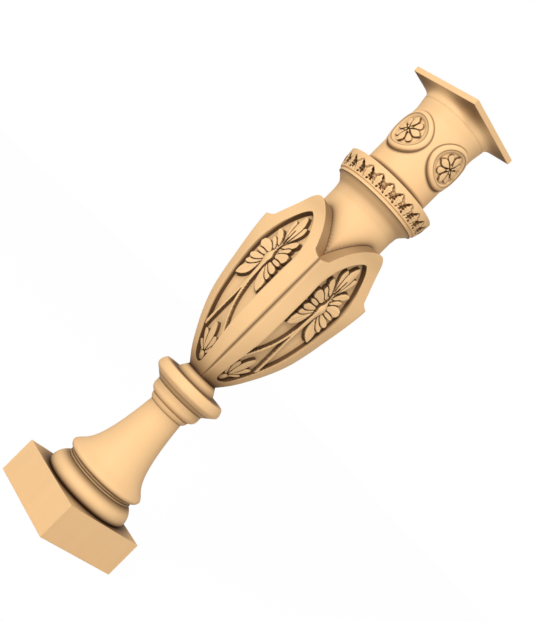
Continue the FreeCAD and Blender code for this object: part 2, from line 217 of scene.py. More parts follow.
def bow(wide, end):
    """A round from its widest point, where it runs upright, to a point nearer the axis: a circle's arc."""
    wide, end = np.array(wide), np.array(end)
    inward, rise = wide[0] - end[0], end[1] - wide[1]
    radius = (inward ** 2 + rise ** 2) / (2 * inward)
    turn = np.linspace(0, np.arctan2(rise, radius - inward), arc_points)[:, None]
    return wide + radius * np.hstack([np.cos(turn) - 1, np.sin(turn)])


def sweep(*corners):
    """A smooth curve from the first point to the last, pulled by the two between (cubic Bezier)."""
    t = np.linspace(0, 1, curve_points)[:, None]
    a, b, c, d = (np.array(corner, float) for corner in corners)
    return (1 - t) ** 3 * a + 3 * t * (1 - t) ** 2 * b + 3 * t ** 2 * (1 - t) * c + t ** 3 * d


def even(profile, step):
    """A profile's points spaced evenly, its corners kept: each run between points is cut by its length."""
    runs = []
    for start, end in zip(profile[:-1], profile[1:]):
        count = max(1, int(np.ceil(np.hypot(*(end - start)) / step)))
        runs.append(start + (end - start) * np.linspace(0, 1, count, endpoint=False)[:, None])
    return np.vstack(runs + [profile[-1:]])


def sheltered(profile, reach):
    """How much of the half circle before it each point of a profile can't see, for its own nearby points.

    On each side the steepest line of sight to a neighbour, over the point's tangent, bounds what it sees.
    """
    tangent = np.gradient(profile, axis=0)
    tangent /= np.maximum(np.hypot(*tangent.T), 1e-9)[:, None]
    gap = profile[None, :, :] - profile[:, None, :]
    along = (gap * tangent[:, None, :]).sum(axis=2)
    rise = gap[..., 0] * tangent[:, None, 1] - gap[..., 1] * tangent[:, None, 0]
    near = np.hypot(gap[..., 0], gap[..., 1]) < reach
    steep = np.where(near, np.arctan2(rise, np.abs(along) + 1e-6), 0.0)
    ahead = np.where(along > 0, steep, 0.0).max(axis=1)
    behind = np.where(along < 0, steep, 0.0).max(axis=1)
    return (ahead + behind) / np.pi


def ease(x):
    """From 0 to 1 with a soft start and end."""
    x = np.clip(x, 0, 1)
    return x * x * (3 - 2 * x)


def turned_rows(profile, columns):
    """Rows of points of a turned form: a profile of (radius, height) points carried round the axis."""
    turn = np.linspace(0, 2 * np.pi, columns, endpoint=False)
    grid = np.empty((len(profile), columns, 3))
    grid[..., 0] = profile[:, :1] * np.cos(turn)
    grid[..., 1] = profile[:, :1] * np.sin(turn)
    grid[..., 2] = profile[:, 1:]
    return grid


bead = sweep((bead_root, 0.0), (51.3, 0.35), (51.3, 3.15), (bead_root, bead_rise))[::3]
foot_profile = even(np.vstack([
    [(0.0, 49.0), (roll_foot, 49.0)],
    bow(roll_wide, (roll_foot, plinth_height))[::-1],
    bow(roll_wide, (bead_root, bead_foot))[1:],
    bead + (0.0, bead_foot),
    bead + (0.0, bead_foot + bead_rise),
    bow(bell_wide, (bead_root, bell_foot))[::-1],
    sweep(bell_wide, (51.4, 103.7), (34.9, 95.0), bell_neck)[1:],
    sweep(bell_neck, (27.5, 196.0), (29.3, 199.0), (29.6, 202.0)),
    [(28.4, 202.8)],
    bow(cup_wide, (28.9, 202.9))[::-1],
    [cup_top],
    sweep(cup_top, (40.0, 222.5), (45.5, 227.0), disc_edge)[1:],
    bow(disc_wide, disc_edge)[::-1],
    bow(disc_wide, (47.4, 244.4))[1:],
    [(cone_radius, disc_top)],
    sweep((cone_radius, disc_top), (28.5, 250.0), (24.5, 254.5), (22.4, foot_top))[1:],
    [(0.0, foot_top)],
]), row_step)


def foot_shade():
    """Painted shade: dark where the profile's own forms shelter it, at the plinth and under the bulb, with
    fine lines of painted shade in the creases where the beads meet and under the disc. Each place
    takes the darkest of these."""
    radius, level = foot_profile.T
    shade = 0.78 * ease((sheltered(foot_profile, 30.0) - 0.1) / 0.42)
    shade = np.where(np.abs(level - cup_foot) < 1.2, np.minimum(shade, 0.3), shade)
    on_beads = ease((level - bead_foot + 2.0) / 2.0) * ease((bell_foot + 2.7 - level) / 2.0)
    joints = bead_foot + bead_rise * np.arange(3)
    lines = sum(np.exp(-((level - joint) / 0.55) ** 2) for joint in joints)
    shade = shade + (0.56 + 0.42 * lines.clip(0, 1) - shade) * on_beads
    on_plinth = np.exp(-((level - plinth_height - 1.0).clip(0, None) / 7.0) ** 2) * (level < 72.0)
    over_cup = level - cup_top[1]
    under_disc = ease((disc_edge[1] - 0.5 - level) / 7.0) * (over_cup > -0.1)
    disc_lines = 1.4 * np.exp(-((over_cup - 0.4) / 1.1) ** 2) + np.exp(-((over_cup - 6.1) / 0.9) ** 2)
    under_disc = (0.38 * under_disc + 0.3 * disc_lines) * (over_cup > -0.5)
    over_disc = level - disc_top
    on_disc = 0.85 * ease((48.5 - radius) / 12.0) * (over_disc > -1.6) * (over_disc < 0.1)
    on_cone = 0.85 * np.exp(-over_disc.clip(0, None) / 4.0) * (over_disc > -0.1)
    under_bulb = np.exp((level - foot_top + 1.0).clip(None, 0) / 2.6) * (over_disc > 0.6)
    return np.max([shade, on_plinth, under_disc, on_disc, on_cone, under_bulb], axis=0)


skin("turned_foot", turned_rows(foot_profile, foot_columns), foot_shade()[:, None])


# The bulb: four petals carved from the square of the timber. Each has a swelled face, a pointed tip
# that flares outwards, a groove where it meets its neighbour, and a sunk panel with a carved flower.
# At heights up the bulb, how far from the axis a petal's face lies at its corner and at its middle:
bulb_level, bulb_corner, bulb_middle = np.array([
    (257.8, 16.9, 18.0), (274.5, 25.8, 29.7), (293.8, 33.9, 40.1), (314.3, 41.3, 49.5),
    (339.8, 48.5, 59.2), (368.4, 53.6, 65.1), (394.6, 57.0, 67.8), (420.7, 60.4, 68.2),
    (441.9, 62.7, 65.3), (455.6, 63.5, 64.5), (473.0, 63.2, 63.9), (485.4, 63.9, 64.2),
    (497.9, 66.2, 66.2), (510.3, 70.7, 70.7), (515.3, 72.4, 72.4)]).T
bulb_foot = bulb_level[0]
ledge = 457.2                    # where the petals part, and their edges draw in to the pointed tips
shoulder_end = (46.7, 463.0)     # (half width, height) points on a petal's edge and on its panel's
tip_level = 514.7
pocket_wide = (33.9, 429.4)
pocket_foot = (9.0, 274.5)
groove_depth = 2.8
groove_in = groove_depth * 0.7071    # how far the groove's bottom lies in from the corner's two sides
groove_top, groove_foot = 3.2, 1.3
pocket_depth = 7.8
pocket_wall = 1.3
pocket_swell = 0.72              # the panel's floor follows this much of the face's swell
bud_level = 421.0
carved_levels = ((266.0, 322.0), (372.0, 492.0))    # where the sprig and the flower lie
carved_edge = 0.7                # a carved form has its full height this far in from its outline
leaf_crown = 0.9
stalk_crown = 0.8
vein_width = 0.6
panel_share = 0.8                # part of a row's points that lie in the panel
petal_rows = 408
petal_columns = 148
side_columns = 20
petal_count = 4
neck_radius = 48.9               # of the round neck that the petals stand against
side_back = 30.0                 # a petal's sides run back to here, inside the neck
side_meet = 68.5                 # and would meet this far behind the axis


def through(level, value, at):
    """A smooth line through points: cubic pieces whose slopes are those between each point's neighbours."""
    slope = np.gradient(value, level)
    k = np.clip(np.searchsorted(level, at) - 1, 0, len(level) - 2)
    span = level[k + 1] - level[k]
    t = (at - level[k]) / span
    rise = value[k + 1] - value[k]
    start, end = span * slope[k], span * slope[k + 1]
    return value[k] + t * (start + t * (3 * rise - 2 * start - end + t * (start + end - 2 * rise)))


def petal_edge():
    """The petal's right edge from its foot to its tip, as (half width, height) points."""
    lower = np.linspace(bulb_foot, ledge, 260)
    corner = through(bulb_level, bulb_corner, lower) - groove_in
    arch = sweep(shoulder_end, (36.8, 482.3), (15.8, tip_level), (0.0, tip_level))
    shoulder = sweep((corner[-1], ledge), (57.3, 458.1), (49.8, 460.3), shoulder_end)
    return np.vstack([np.stack([corner, lower], axis=1), shoulder[1:], arch[1:]])


def spaced(line, count, weight):
    """A line's points at equal steps of its length times a weight, so that they crowd where it is large."""
    steps = np.hypot(*np.diff(line, axis=0).T) * (weight[1:] + weight[:-1]) / 2
    length = np.concatenate([[0], np.cumsum(steps)])
    at = np.linspace(0, length[-1], count)
    return np.stack([np.interp(at, length, line[:, k]) for k in (0, 1)], axis=1)


def pocket_half_width(level):
    """The panel's half width at each height, from its outline's three smooth stretches."""
    upper = sweep((0.0, 494.0), (9.0, 493.5), (33.9, 466.0), pocket_wide)
    lower = sweep(pocket_wide, (33.9, 379.7), (21.2, 298.5), pocket_foot)
    foot = sweep(pocket_foot, (7.0, 270.5), (4.0, 268.5), (0.0, 268.5))
    outline = np.vstack([upper, lower[1:], foot[1:]])[::-1]
    return np.interp(level, outline[:, 1], outline[:, 0], left=0.0, right=0.0)


def leaf_inside(across, up, start, end, half_width, belly, fullness):
    """How far inside a leaf each place lies: its half width there, a power of a sine along it, less the
    distance from its middle line. Beyond its ends it is less than nothing. Also the share along it and
    the distance from its middle line."""
    (x0, y0), (x1, y1) = start, end
    length = math.hypot(x1 - x0, y1 - y0)
    along = ((across - x0) * (x1 - x0) + (up - y0) * (y1 - y0)) / length ** 2
    beside = np.abs((across - x0) * (y1 - y0) - (up - y0) * (x1 - x0)) / length
    on = np.clip(along, 0, 1)
    width = half_width * np.sin(np.pi * on ** (math.log(0.5) / math.log(belly))) ** fullness
    beyond = np.abs(along - on) * length
    return np.where(beyond > 0, -np.hypot(beyond, beside), width - beside), on, beside


def laid_on(relief, inside, top, gap=0.7, sunk=0.55):
    """Carves a form over what is there: a level top with a steep edge, and a narrow gap sunk round it."""
    cut = ease(1 + inside / gap)
    body = top * ease(inside / carved_edge)
    return np.where(inside > 0, np.maximum(body, 0.2 * relief), relief * (1 - sunk * cut))


def leaf_on(relief, across, up, start, end, half_width, low, high, belly, fullness, vein):
    """Lays one leaf on the relief. It rises from its root to its tip, is round across and has a vein."""
    inside, on, beside = leaf_inside(across, up, start, end, half_width, belly, fullness)
    crown = leaf_crown * (beside / half_width) ** 2
    crown = crown + vein * np.exp(-(beside / vein_width) ** 2) * ease(4 * on)
    return laid_on(relief, inside, low + (high - low) * on - crown)


def stalk_on(relief, across, up, points, half_width, height):
    """Lays a stalk on the relief: a round ridge over the nearest run between two of its points."""
    far = np.full_like(across, 1e6)
    for (x0, y0), (x1, y1) in zip(points[:-1], points[1:]):
        length2 = (x1 - x0) ** 2 + (y1 - y0) ** 2
        along = np.clip(((across - x0) * (x1 - x0) + (up - y0) * (y1 - y0)) / length2, 0, 1)
        far = np.minimum(far, np.hypot(across - x0 - along * (x1 - x0), up - y0 - along * (y1 - y0)))
    return laid_on(relief, half_width - far, height - stalk_crown * (far / half_width) ** 2)


def flower_relief(across, level):
    """The panel's carving, from the back forwards: bed, sprig, stalks, petals, and the bud on its spine.

    The two halves mirror each other. A leaf is its root, its tip, its half width, its height at both ends,
    where it is widest, how blunt it is, and the depth of its vein. Heights are from the bud's level.
    """
    across = np.abs(across)
    up = level - bud_level
    relief = 3.8 * ease(3.0 - 3.0 * np.hypot(across / 24.0, (up - 2.0) / 28.0))
    sprig = [
        ((1.0, -141.0), (13.0, -129.6), 3.5, 3.8, 5.4, 0.66, 0.40, 0.2),
        ((0.8, -138.0), (12.4, -115.0), 4.5, 4.0, 5.6, 0.66, 0.42, 0.2),
        ((0.0, -139.0), (0.0, -100.5), 6.0, 4.4, 6.0, 0.60, 0.55, 0.3),
    ]
    for leaf in sprig:
        relief = leaf_on(relief, across, up, *leaf)
    ball = 5.0 - np.hypot(across, (up + 144.4) * 0.8)
    relief = laid_on(relief, ball, 4.2 + 0.5 * ball)
    branch = sweep((0.8, -12.0), (0.5, -72.0), (7.6, -77.0), (22.4, -121.0))
    relief = stalk_on(relief, across, up, branch[::3], 2.6, 5.4)
    petals = [
        ((4.0, -10.5), (25.6, -43.4), 8.2, 4.2, 6.6, 0.58, 0.80, 0.4),
        ((4.2, -9.0), (25.8, -23.8), 4.7, 4.4, 6.4, 0.64, 0.38, 0.2),
        ((5.0, -6.0), (27.2, -14.2), 5.2, 4.4, 6.6, 0.64, 0.36, 0.2),
        ((1.5, 19.0), (11.6, 53.6), 4.8, 4.2, 5.8, 0.72, 0.55, 0.3),
        ((2.0, 15.0), (21.8, 33.2), 5.3, 4.4, 6.4, 0.66, 0.42, 0.3),
        ((3.6, 8.4), (20.0, 21.2), 3.9, 4.4, 6.0, 0.64, 0.38, 0.2),
        ((4.6, 3.8), (28.4, 9.4), 7.6, 4.4, 7.0, 0.64, 0.38, 0.3),
        ((5.6, -1.7), (25.6, -2.4), 3.7, 4.4, 6.2, 0.58, 0.36, 0.4),
        ((0.0, 9.0), (0.0, 65.4), 6.7, 4.6, 6.6, 0.70, 0.60, 0.0),
    ]
    for leaf in petals:
        relief = leaf_on(relief, across, up, *leaf)
    spine = 1.6 + 2.1 * ease((-4 - up) / 8) + 5.3 * np.exp(-((up + 2) / 7) ** 2)
    spine = spine * ease((44 - up) / 34)
    inside = np.where((up > -40) & (up < 43), spine - across, -9.0)
    bud = np.exp(-((up + 2) / 9) ** 2)
    return laid_on(relief, inside, 5.4 + 2.8 * bud - 0.05 * across ** 2, 0.6 + 2.0 * bud, 0.95)


def soften(field, reach):
    """Means over a window of rows and columns, by running sums, with the edges held."""
    for axis in (0, 1):
        pad = [(0, 0), (0, 0)]
        pad[axis] = (reach + 1, reach)
        total = np.cumsum(np.pad(field, pad, mode="edge"), axis=axis)
        ahead = np.take(total, np.arange(2 * reach + 1, total.shape[axis]), axis=axis)
        behind = np.take(total, np.arange(0, total.shape[axis] - 2 * reach - 1), axis=axis)
        field = (ahead - behind) / (2 * reach + 1)
    return field


def spread(field, reach):
    """The largest less the smallest value in a window of rows and columns round each place."""
    high, low = field, field
    for axis in (0, 1):
        steps = [np.roll(high, step, axis) for step in range(-reach, reach + 1)]
        high = np.max(steps, axis=0)
        steps = [np.roll(low, step, axis) for step in range(-reach, reach + 1)]
        low = np.min(steps, axis=0)
    return high - low


def petal_face(half, level, share):
    """The face's distance from the axis and its places across: a swell from corner to corner, less the panel,
    whose floor carries the carving, and less the groove. Also how far each place is in panel and groove."""
    corner = through(bulb_level, bulb_corner, level)
    middle = through(bulb_level, bulb_middle, level)
    pocket = pocket_half_width(level)
    inner = np.maximum(pocket, 0.12 * half)
    beyond = np.clip((np.abs(share) - panel_share) / (1 - panel_share), 0, 1)
    across = inner * np.clip(share / panel_share, -1, 1)
    across = across + np.sign(share) * (half - inner) * (1 - (1 - beyond) ** 1.6)
    face = corner + (middle - corner) * (1 - np.clip(np.abs(across) / corner, 0, 1) ** 2)
    slope = np.gradient(pocket[:, 0], level[:, 0] + np.arange(len(level)) * 1e-9)[:, None]
    inside = (pocket - np.abs(across)) / np.sqrt(1 + np.clip(slope, -6, 6) ** 2)
    floor = corner + pocket_swell * (middle - corner) - pocket_depth
    carved = floor + flower_relief(across, level)
    in_panel = ease(inside / pocket_wall) * (pocket > 0)
    out = face + (np.minimum(carved, face + 0.3) - face) * in_panel
    rise = (level - bulb_foot) / (ledge - bulb_foot)
    groove_width = groove_foot + (groove_top - groove_foot) * rise
    groove_line = corner - groove_in
    in_groove = np.clip((np.abs(across) - groove_line + groove_width) / groove_width, 0, 1)
    out = out + (groove_line - out) * in_groove ** 1.5
    return out, across, in_panel, in_groove


def petal_painted_shade(out, across, level, share, in_panel, in_groove):
    """How much painted shade the face gets: on steep walls in the panel, the more the higher they are,
    where it lies below the mean round it, in the groove, at the bulb's foot, and in a thin line
    along the ledge."""
    rise_across = np.gradient(out, axis=1) / np.gradient(across, axis=1).clip(1e-6)
    rise_up = np.gradient(out, axis=0) - rise_across * np.gradient(across, axis=0)
    rise_up = rise_up / np.gradient(level, axis=0).clip(1e-6)
    wall = ease((np.hypot(rise_across, rise_up) - 0.9) / 2.2)
    wall_dark = 0.5 + 0.44 * ease((spread(out, 3) - 2.2) / 2.6)
    near_hollow_shade = np.clip((soften(out, 3) - out) * 0.5, 0, 0.9)
    wide_hollow_shade = np.clip((soften(out, 17) - out) * 0.09, 0, 0.5)
    painted_shade = np.max([wall_dark * wall, near_hollow_shade, wide_hollow_shade], axis=0) * (in_panel > 0.02)
    painted_shade = np.maximum(painted_shade, 0.9 * in_groove ** 1.6)
    painted_shade = np.maximum(painted_shade, 0.95 * np.exp(-(level - bulb_foot) / 16.0))
    at_ledge = np.exp(-((level - ledge - 0.6) / 1.0) ** 2) * ease((np.abs(share) - 0.97) / 0.02)
    return np.maximum(painted_shade, 0.7 * at_ledge)


def petal_side(rim, half, level):
    """The right side's points and painted shade. Above the ledge it runs back from the face's rim into the
    neck, and its painted shade is darkest where it meets it. Below the ledge it is drawn in to two
    columns inside the bulb."""
    above = level >= ledge - 1e-6
    back = np.linspace(0, 1, side_columns + 1)[1:][None, :]
    reach = rim * (1 - back) + side_back * back
    taper = half * (reach + side_meet) / (rim + side_meet)
    away = np.where(above, reach, np.where(back < 0.5, rim * 0.5 + 2.0, 4.0))
    wide = np.where(above, taper, np.where(back < 0.5, half * 0.5 + 2.0, 4.0))
    to_neck = np.hypot(away, wide) - neck_radius
    dark = 0.49 + 0.2 * ease((level - 485.0) / 25.0)
    dark = np.maximum(dark, 0.93 * np.exp(-(to_neck / 2.6).clip(0, None) ** 2))
    points = np.stack([away, wide, np.broadcast_to(level, away.shape)], axis=-1)
    return points, np.where(above, dark, 0.8)


def petal_rows_of_points():
    """The petal that faces +X, as closed rows: across its face, then back along its two hidden sides. The
    rows crowd where the carving lies."""
    line = petal_edge()
    carved = sum((line[:, 1] > low) & (line[:, 1] < high) for low, high in carved_levels)
    edge = spaced(line, petal_rows, 1 + 0.9 * carved)
    half, level = edge[:, :1], edge[:, 1:]
    share = np.linspace(-1, 1, petal_columns)[None, :]
    out, across, in_panel, in_groove = petal_face(half, level, share)
    face = np.stack([out, across, np.broadcast_to(level, out.shape)], axis=-1)
    face_dark = petal_painted_shade(out, across, level, share, in_panel, in_groove)
    right, side_dark = petal_side(out[:, -1:], half, level)
    left = right[:, ::-1] * (1, -1, 1)
    grid = np.concatenate([face, right, left], axis=1)
    dark = np.concatenate([face_dark, side_dark, side_dark[:, ::-1]], axis=1)
    foot = np.broadcast_to(grid[:1].mean(axis=1, keepdims=True), grid[:1].shape)
    return np.concatenate([foot, grid]), np.concatenate([dark[:1], dark])


petal_grid, petal_dark = petal_rows_of_points()
for number in range(petal_count):
    turn = number * 2 * math.pi / petal_count
    spin = np.array([[math.cos(turn), math.sin(turn), 0], [-math.sin(turn), math.cos(turn), 0], [0, 0, 1]])
    skin(f"petal_{number + 1}", petal_grid @ spin, petal_dark)


# The neck: the plain round shaft that the petals stand against, and above them the cove that flares
# out to carry the collar. Both are turned in one run, with a narrow fillet at the top.
neck_columns = 128
neck_step = 1.6
neck_foot = 440.0
cove_foot = 537.7
cove_top = 560.1
neck_top = 564.6
neck_shade_columns = 13          # columns on either side that are searched for the nearest petal
petal_reach = 63.5               # a petal's rim lies about this far out beside the neck
neck_profile = even(np.vstack([
    [(neck_radius, neck_foot), (neck_radius, cove_foot)],
    sweep((neck_radius, cove_foot), (50.6, 552.1), (48.7, 547.9), (59.75, cove_top))[1:],
    [(61.2, cove_top), (61.3, neck_top)],
]), neck_step)


def neck_shade():
    """Painted shade where the neck rises out of the petals, by its distance from the line where they meet
    it, and painted shade under the collar."""
    turn = np.linspace(0, 2 * np.pi, neck_columns, endpoint=False)
    quarter = (turn + np.pi / 4) % (np.pi / 2) - np.pi / 4
    across, out = neck_radius * np.abs(np.sin(quarter)), neck_radius * np.cos(quarter)
    edge = petal_edge()[::-1]
    edge = edge[edge[:, 1] > ledge]
    at_rim = across * (petal_reach + side_meet) / (out + side_meet)
    meeting = np.interp(at_rim, edge[:, 0], edge[:, 1])
    level = neck_profile[:, 1:]
    far = np.full((len(level), neck_columns), 1e6)
    for shift in range(-neck_shade_columns, neck_shade_columns + 1):
        beside = shift * neck_radius * 2 * np.pi / neck_columns
        far = np.minimum(far, np.hypot(beside, level - np.roll(meeting, shift)[None, :]))
    far = np.where(level > meeting[None, :], far, 0.0)
    under_collar = 0.85 * ease((sheltered(neck_profile, 45.0)[:, None] - 0.1) / 0.36)
    under_fillet = 0.6 * np.exp(-np.abs(level - cove_top) / 6.0) * (neck_profile[:, :1] < 60.0)
    return np.maximum(0.92 * np.exp(-far / 5.5), np.maximum(under_fillet, under_collar))


neck_ends = np.zeros((2, neck_columns, 3))
neck_ends[:, :, 2] = neck_profile[[0, -1], 1][:, None]
neck_grid = np.concatenate([neck_ends[:1], turned_rows(neck_profile, neck_columns), neck_ends[1:]])
neck_dark = neck_shade()
skin("neck", neck_grid, np.concatenate([neck_dark[:1], neck_dark, neck_dark[-1:]]))


# The collar: a flaring band, turned and then carved with a ring of small pointed leaves. The ground is
# cut down steeply along each leaf's ragged edge, and rises again towards the next leaf.
collar_low, collar_high = 564.2, 589.5
collar_step = 0.58
collar_radius = 65.5             # at which the leaves are drawn
leaf_count = 24
leaf_columns = 48
leaf_foot = 565.4
leaf_height = 17.4
leaf_half = 7.4                  # its half width where it is widest
leaf_belly = 5.0                 # height of that place above its foot
leaf_above, leaf_below = 12.6, 16.0    # it would narrow to nothing this far above and below it
lobe_height = 4.0
ground_depth = 7.6
leaf_cuts = ((0.6, 2.2, 3.4), (4.4, 3.4, 3.4))    # height, distance from the middle, and width


def collar_rows():
    """The band's profile carried round, less the ground that dips towards each leaf.

    A leaf narrows upwards in rounded lobes, and its upright sides stand where the ground is deepest. Short
    cuts with one upright side part the lowest lobes, two on each side. The upright sides, the vein and the
    ribs get painted shade.
    """
    profile = even(np.array([
        (0.0, collar_low), (60.0, collar_low), (63.4, collar_low + 0.3), (66.3, 575.0), (67.6, 588.9),
        (67.0, collar_high), (0.0, collar_high)]), collar_step)
    profile = profile[(profile[:, 0] > 59.9) | (profile[:, 0] == 0.0)]
    radius, level = profile[:, :1], profile[:, 1:]
    turn = np.linspace(0, 2 * np.pi, leaf_count * leaf_columns, endpoint=False)[None, :]
    pitch = 2 * np.pi / leaf_count
    beside = np.abs((turn - np.pi / 4 + pitch / 2) % pitch - pitch / 2) * collar_radius
    up = level - leaf_foot
    lobe = np.abs(np.sin((up - 1.2) * np.pi / lobe_height))
    away = np.abs(up - leaf_belly) / np.where(up > leaf_belly, leaf_above, leaf_below)
    leaf_edge = leaf_half * (1 - away.clip(0, 1)) * (0.7 + 0.44 * lobe)
    room = collar_radius * pitch / 2 - leaf_edge
    ground_width = np.clip(2.0 * room, 2.2, 0.8 + 0.7 * (leaf_height + 1.5 - up).clip(2, None))
    cut = np.clip(1 - (beside - leaf_edge) / ground_width, 0, 1) * (beside > leaf_edge)
    cut = cut * ease((up - 2.0) / 1.0) * ease((leaf_height + 1.0 - up) / 2.5)
    for first, start, width in leaf_cuts:
        lift = up - first - 0.5 * beside
        pit = np.clip(1 - (beside - start) / width, 0, 1) * (beside > start)
        cut = np.maximum(cut, pit * ease(1.4 - np.abs(lift) / 1.2))
    vein = 0.35 * np.exp(-(beside / 0.45) ** 2) * ease((leaf_height - 5.0 - up) / 4.0)
    ribs = 0.35 * (1 - lobe) ** 2 * ease((leaf_edge - beside) / 1.0) * ease(beside / 1.5)
    carved = (up > 0.3) & (up < leaf_height + 1.0) & (radius > 60)
    reach = radius - np.where(carved, np.maximum(ground_depth * cut, vein + ribs), 0.0)
    points = [reach * np.cos(turn), reach * np.sin(turn), np.broadcast_to(level, reach.shape)]
    steep = np.abs(np.gradient(reach, axis=1)) / (collar_radius * pitch / leaf_columns)
    # Painted shade on the upright sides, and lighter in the vein and ribs.
    dark = np.maximum(0.98 * ease((steep - 3.4) / 1.5), 0.6 * (vein + ribs))
    return np.stack(points, axis=-1), np.where(carved, dark, 0.0)


skin("collar", *collar_rows())


# The upper neck: turned plain, then carved with four round medallions, each a raised rim round a sunk
# field with a flower of eight petals.
upper_radius = 47.3
upper_foot, upper_top = 588.5, 699.0
collar_shade_top = 600.0         # the neck has painted shade from the collar up to here
flare_foot = 680.0
flare = 2.5
medallion_level = 649.0
medallion_radius = 29.8
medallion_proud = 4.0
medallion_round = 5.0            # width of the rim's rounded outer side
medallion_rim = 6.3              # width of the rim
field_step = 0.9                 # how far the field lies below the rim
dish_depth = 3.1                 # how much deeper the field is round the flower
flower_narrow = 1.06             # the flower is this much taller than wide
ring_line = 697.4                # a fine turned line under the cap
upper_rows = (                   # first and last level of rows at one step, and the step
    (upper_foot, 600.0, 0.9), (600.0, 617.0, 2.1), (617.0, 628.0, 0.62), (628.0, 670.0, 0.5),
    (670.0, 681.5, 0.62))
upper_turns = ((0.0, 0.42, 43), (0.432, 0.70, 18), (0.72, 0.765, 3))    # the same for columns, by count


def rosette_relief(across, up, room):
    """Four blunt petals behind, four pointed ones in front and small sepals, laid one on another."""
    relief = np.zeros_like(across)
    rows = [
        (45.0, 3.0, 18.6, 4.7, 0.75 * room, 0.75, 0.5),
        (0.0, 0.0, 20.6, 5.2, room, 0.62, 1.2),
        (45.0, 0.0, 6.5, 1.8, 1.1 * room, 0.6, 0.7),
    ]
    for first, root, tip, half_width, top, belly, fullness in rows:
        for step in range(4):
            angle = math.radians(first + 90.0 * step)
            way = np.array([math.sin(angle), math.cos(angle)])
            ends = (way * root, way * tip)
            relief = leaf_on(relief, across, up, *ends, half_width, top, top, belly, fullness, 0.2)
    return relief


def upper_neck_rows():
    """A round neck whose radius grows by the medallions' relief, and by the flare under the cap. A medallion
    is a circle as seen from the front. Its walls, rim lines and underside get painted shade, as do the
    turned line under the cap and the neck just above the collar."""
    level = np.concatenate([np.arange(*run) for run in upper_rows] + [np.linspace(682.0, upper_top, 16)])
    level = level[:, None]
    half_quarter = np.concatenate([np.linspace(*run) for run in upper_turns])
    one_quarter = np.concatenate([-half_quarter[:0:-1], half_quarter, [np.pi / 4]])
    turn = np.concatenate([one_quarter + step * np.pi / 2 for step in range(4)])[None, :]
    plain = upper_radius + flare * ease((level - flare_foot) / 22.0)
    quarter = (turn + np.pi / 4) % (np.pi / 2) - np.pi / 4
    across = upper_radius * np.sin(quarter)
    up = level - medallion_level
    far = np.hypot(across, up)
    bulge = 1 - np.clip((medallion_radius - far) / medallion_round, 0, 1)
    rim = medallion_proud * np.sqrt(1 - bulge ** 2)
    field = medallion_radius - medallion_rim - far
    dish = field_step * ease(field / 1.4 + 0.5) + dish_depth * ease((field - 0.8) / 4.0)
    flower = np.where(field > 0, rosette_relief(flower_narrow * across, up, dish - 0.5), 0.0)
    ring = np.exp(-((level - ring_line) / 0.5) ** 2)
    radius = np.maximum(plain, plain + rim - dish + flower) - 0.3 * ring
    points = [radius * np.cos(turn), radius * np.sin(turn), np.broadcast_to(level, radius.shape)]
    steep = np.hypot(
        np.gradient(radius, axis=0) / np.gradient(level, axis=0).clip(1e-3),
        np.gradient(radius, axis=1) / (upper_radius * np.gradient(turn, axis=1)))
    # Painted shade in the sunk field, on steep walls, along the rim lines, below the rim, in the turned line
    # and above the collar.
    sunk = np.clip((soften(radius, 3) - radius) * 0.6, 0, 0.7)
    painted_shade = np.maximum(sunk, 0.92 * ease((steep - 0.9) / 1.6)) * ease(field / 2.0)
    painted_shade = np.maximum(painted_shade, 0.68 * np.exp(-(field / 0.75) ** 2))
    below = ease(-up / np.maximum(far, 1.0))
    outer_line = (far - medallion_radius - 0.2 - 1.1 * below) / (0.75 + 1.35 * below)
    painted_shade = np.maximum(painted_shade, (0.82 + 0.12 * below) * np.exp(-outer_line ** 2))
    painted_shade = np.maximum(painted_shade, 0.35 * ring)
    painted_shade = np.maximum(painted_shade, 0.88 * ease((collar_shade_top - level) / 5.6))
    ends = np.zeros((2, turn.shape[1], 3))
    ends[:, :, 2] = [[upper_foot], [upper_top]]
    grid = np.concatenate([ends[:1], np.stack(points, axis=-1), ends[1:]])
    return grid, np.concatenate([painted_shade[:1] * 0, painted_shade, painted_shade[:1] * 0])


skin("upper_neck", *upper_neck_rows())


# The cap: a square plate for the handrail to rest on, and the hollow moulding under it that goes from
# the round neck to the square.
cap_half = 58.5
cap_low, cap_high = 712.5, 720.0
cap_cove_low = 698.5
cap_cove_radius = 49.8
cap_cove_inset = 0.6             # the moulding ends this far inside the plate's edge
cap_cove_rows = 24
cap_columns = 256


def cap_rows():
    """Rings that go from round to square as they rise, then the plate's edge and its flat top."""
    turn = np.linspace(0, 2 * np.pi, cap_columns, endpoint=False)
    round_plan = np.stack([np.cos(turn), np.sin(turn)], axis=-1)
    square_plan = square_ring(turn)
    t = np.linspace(0, 1, cap_cove_rows)[:, None, None]
    share = t ** 3.2
    rings = cap_cove_radius * round_plan * (1 - share) + (cap_half - cap_cove_inset) * square_plan * share
    rise = np.broadcast_to(cap_cove_low + (cap_low - cap_cove_low) * t, rings.shape[:2] + (1,))
    cove = np.concatenate([rings, rise], axis=-1)
    plate = box_rows(cap_half, cap_low, cap_high, turn)[1:]
    foot = np.zeros_like(cove[:1])
    foot[..., 2] = cap_cove_low
    return np.concatenate([foot, cove, plate])


def cap_shade(shape):
    """Painted shade under the plate, most towards its corners: the rise of the moulding times the turn's
    diagonal.
    """
    rise = np.linspace(0, 1, cap_cove_rows)[:, None]
    diagonal = np.abs(np.sin(2 * np.linspace(0, 2 * np.pi, cap_columns, endpoint=False)))[None, :]
    shade = np.zeros(shape)
    shade[1:cap_cove_rows + 1] = 0.76 * ease((rise - 0.3) / 0.6) * (0.3 + 0.7 * diagonal ** 2)
    return shade


cap_grid = cap_rows()
skin("cap", cap_grid, cap_shade(cap_grid.shape[:2]))


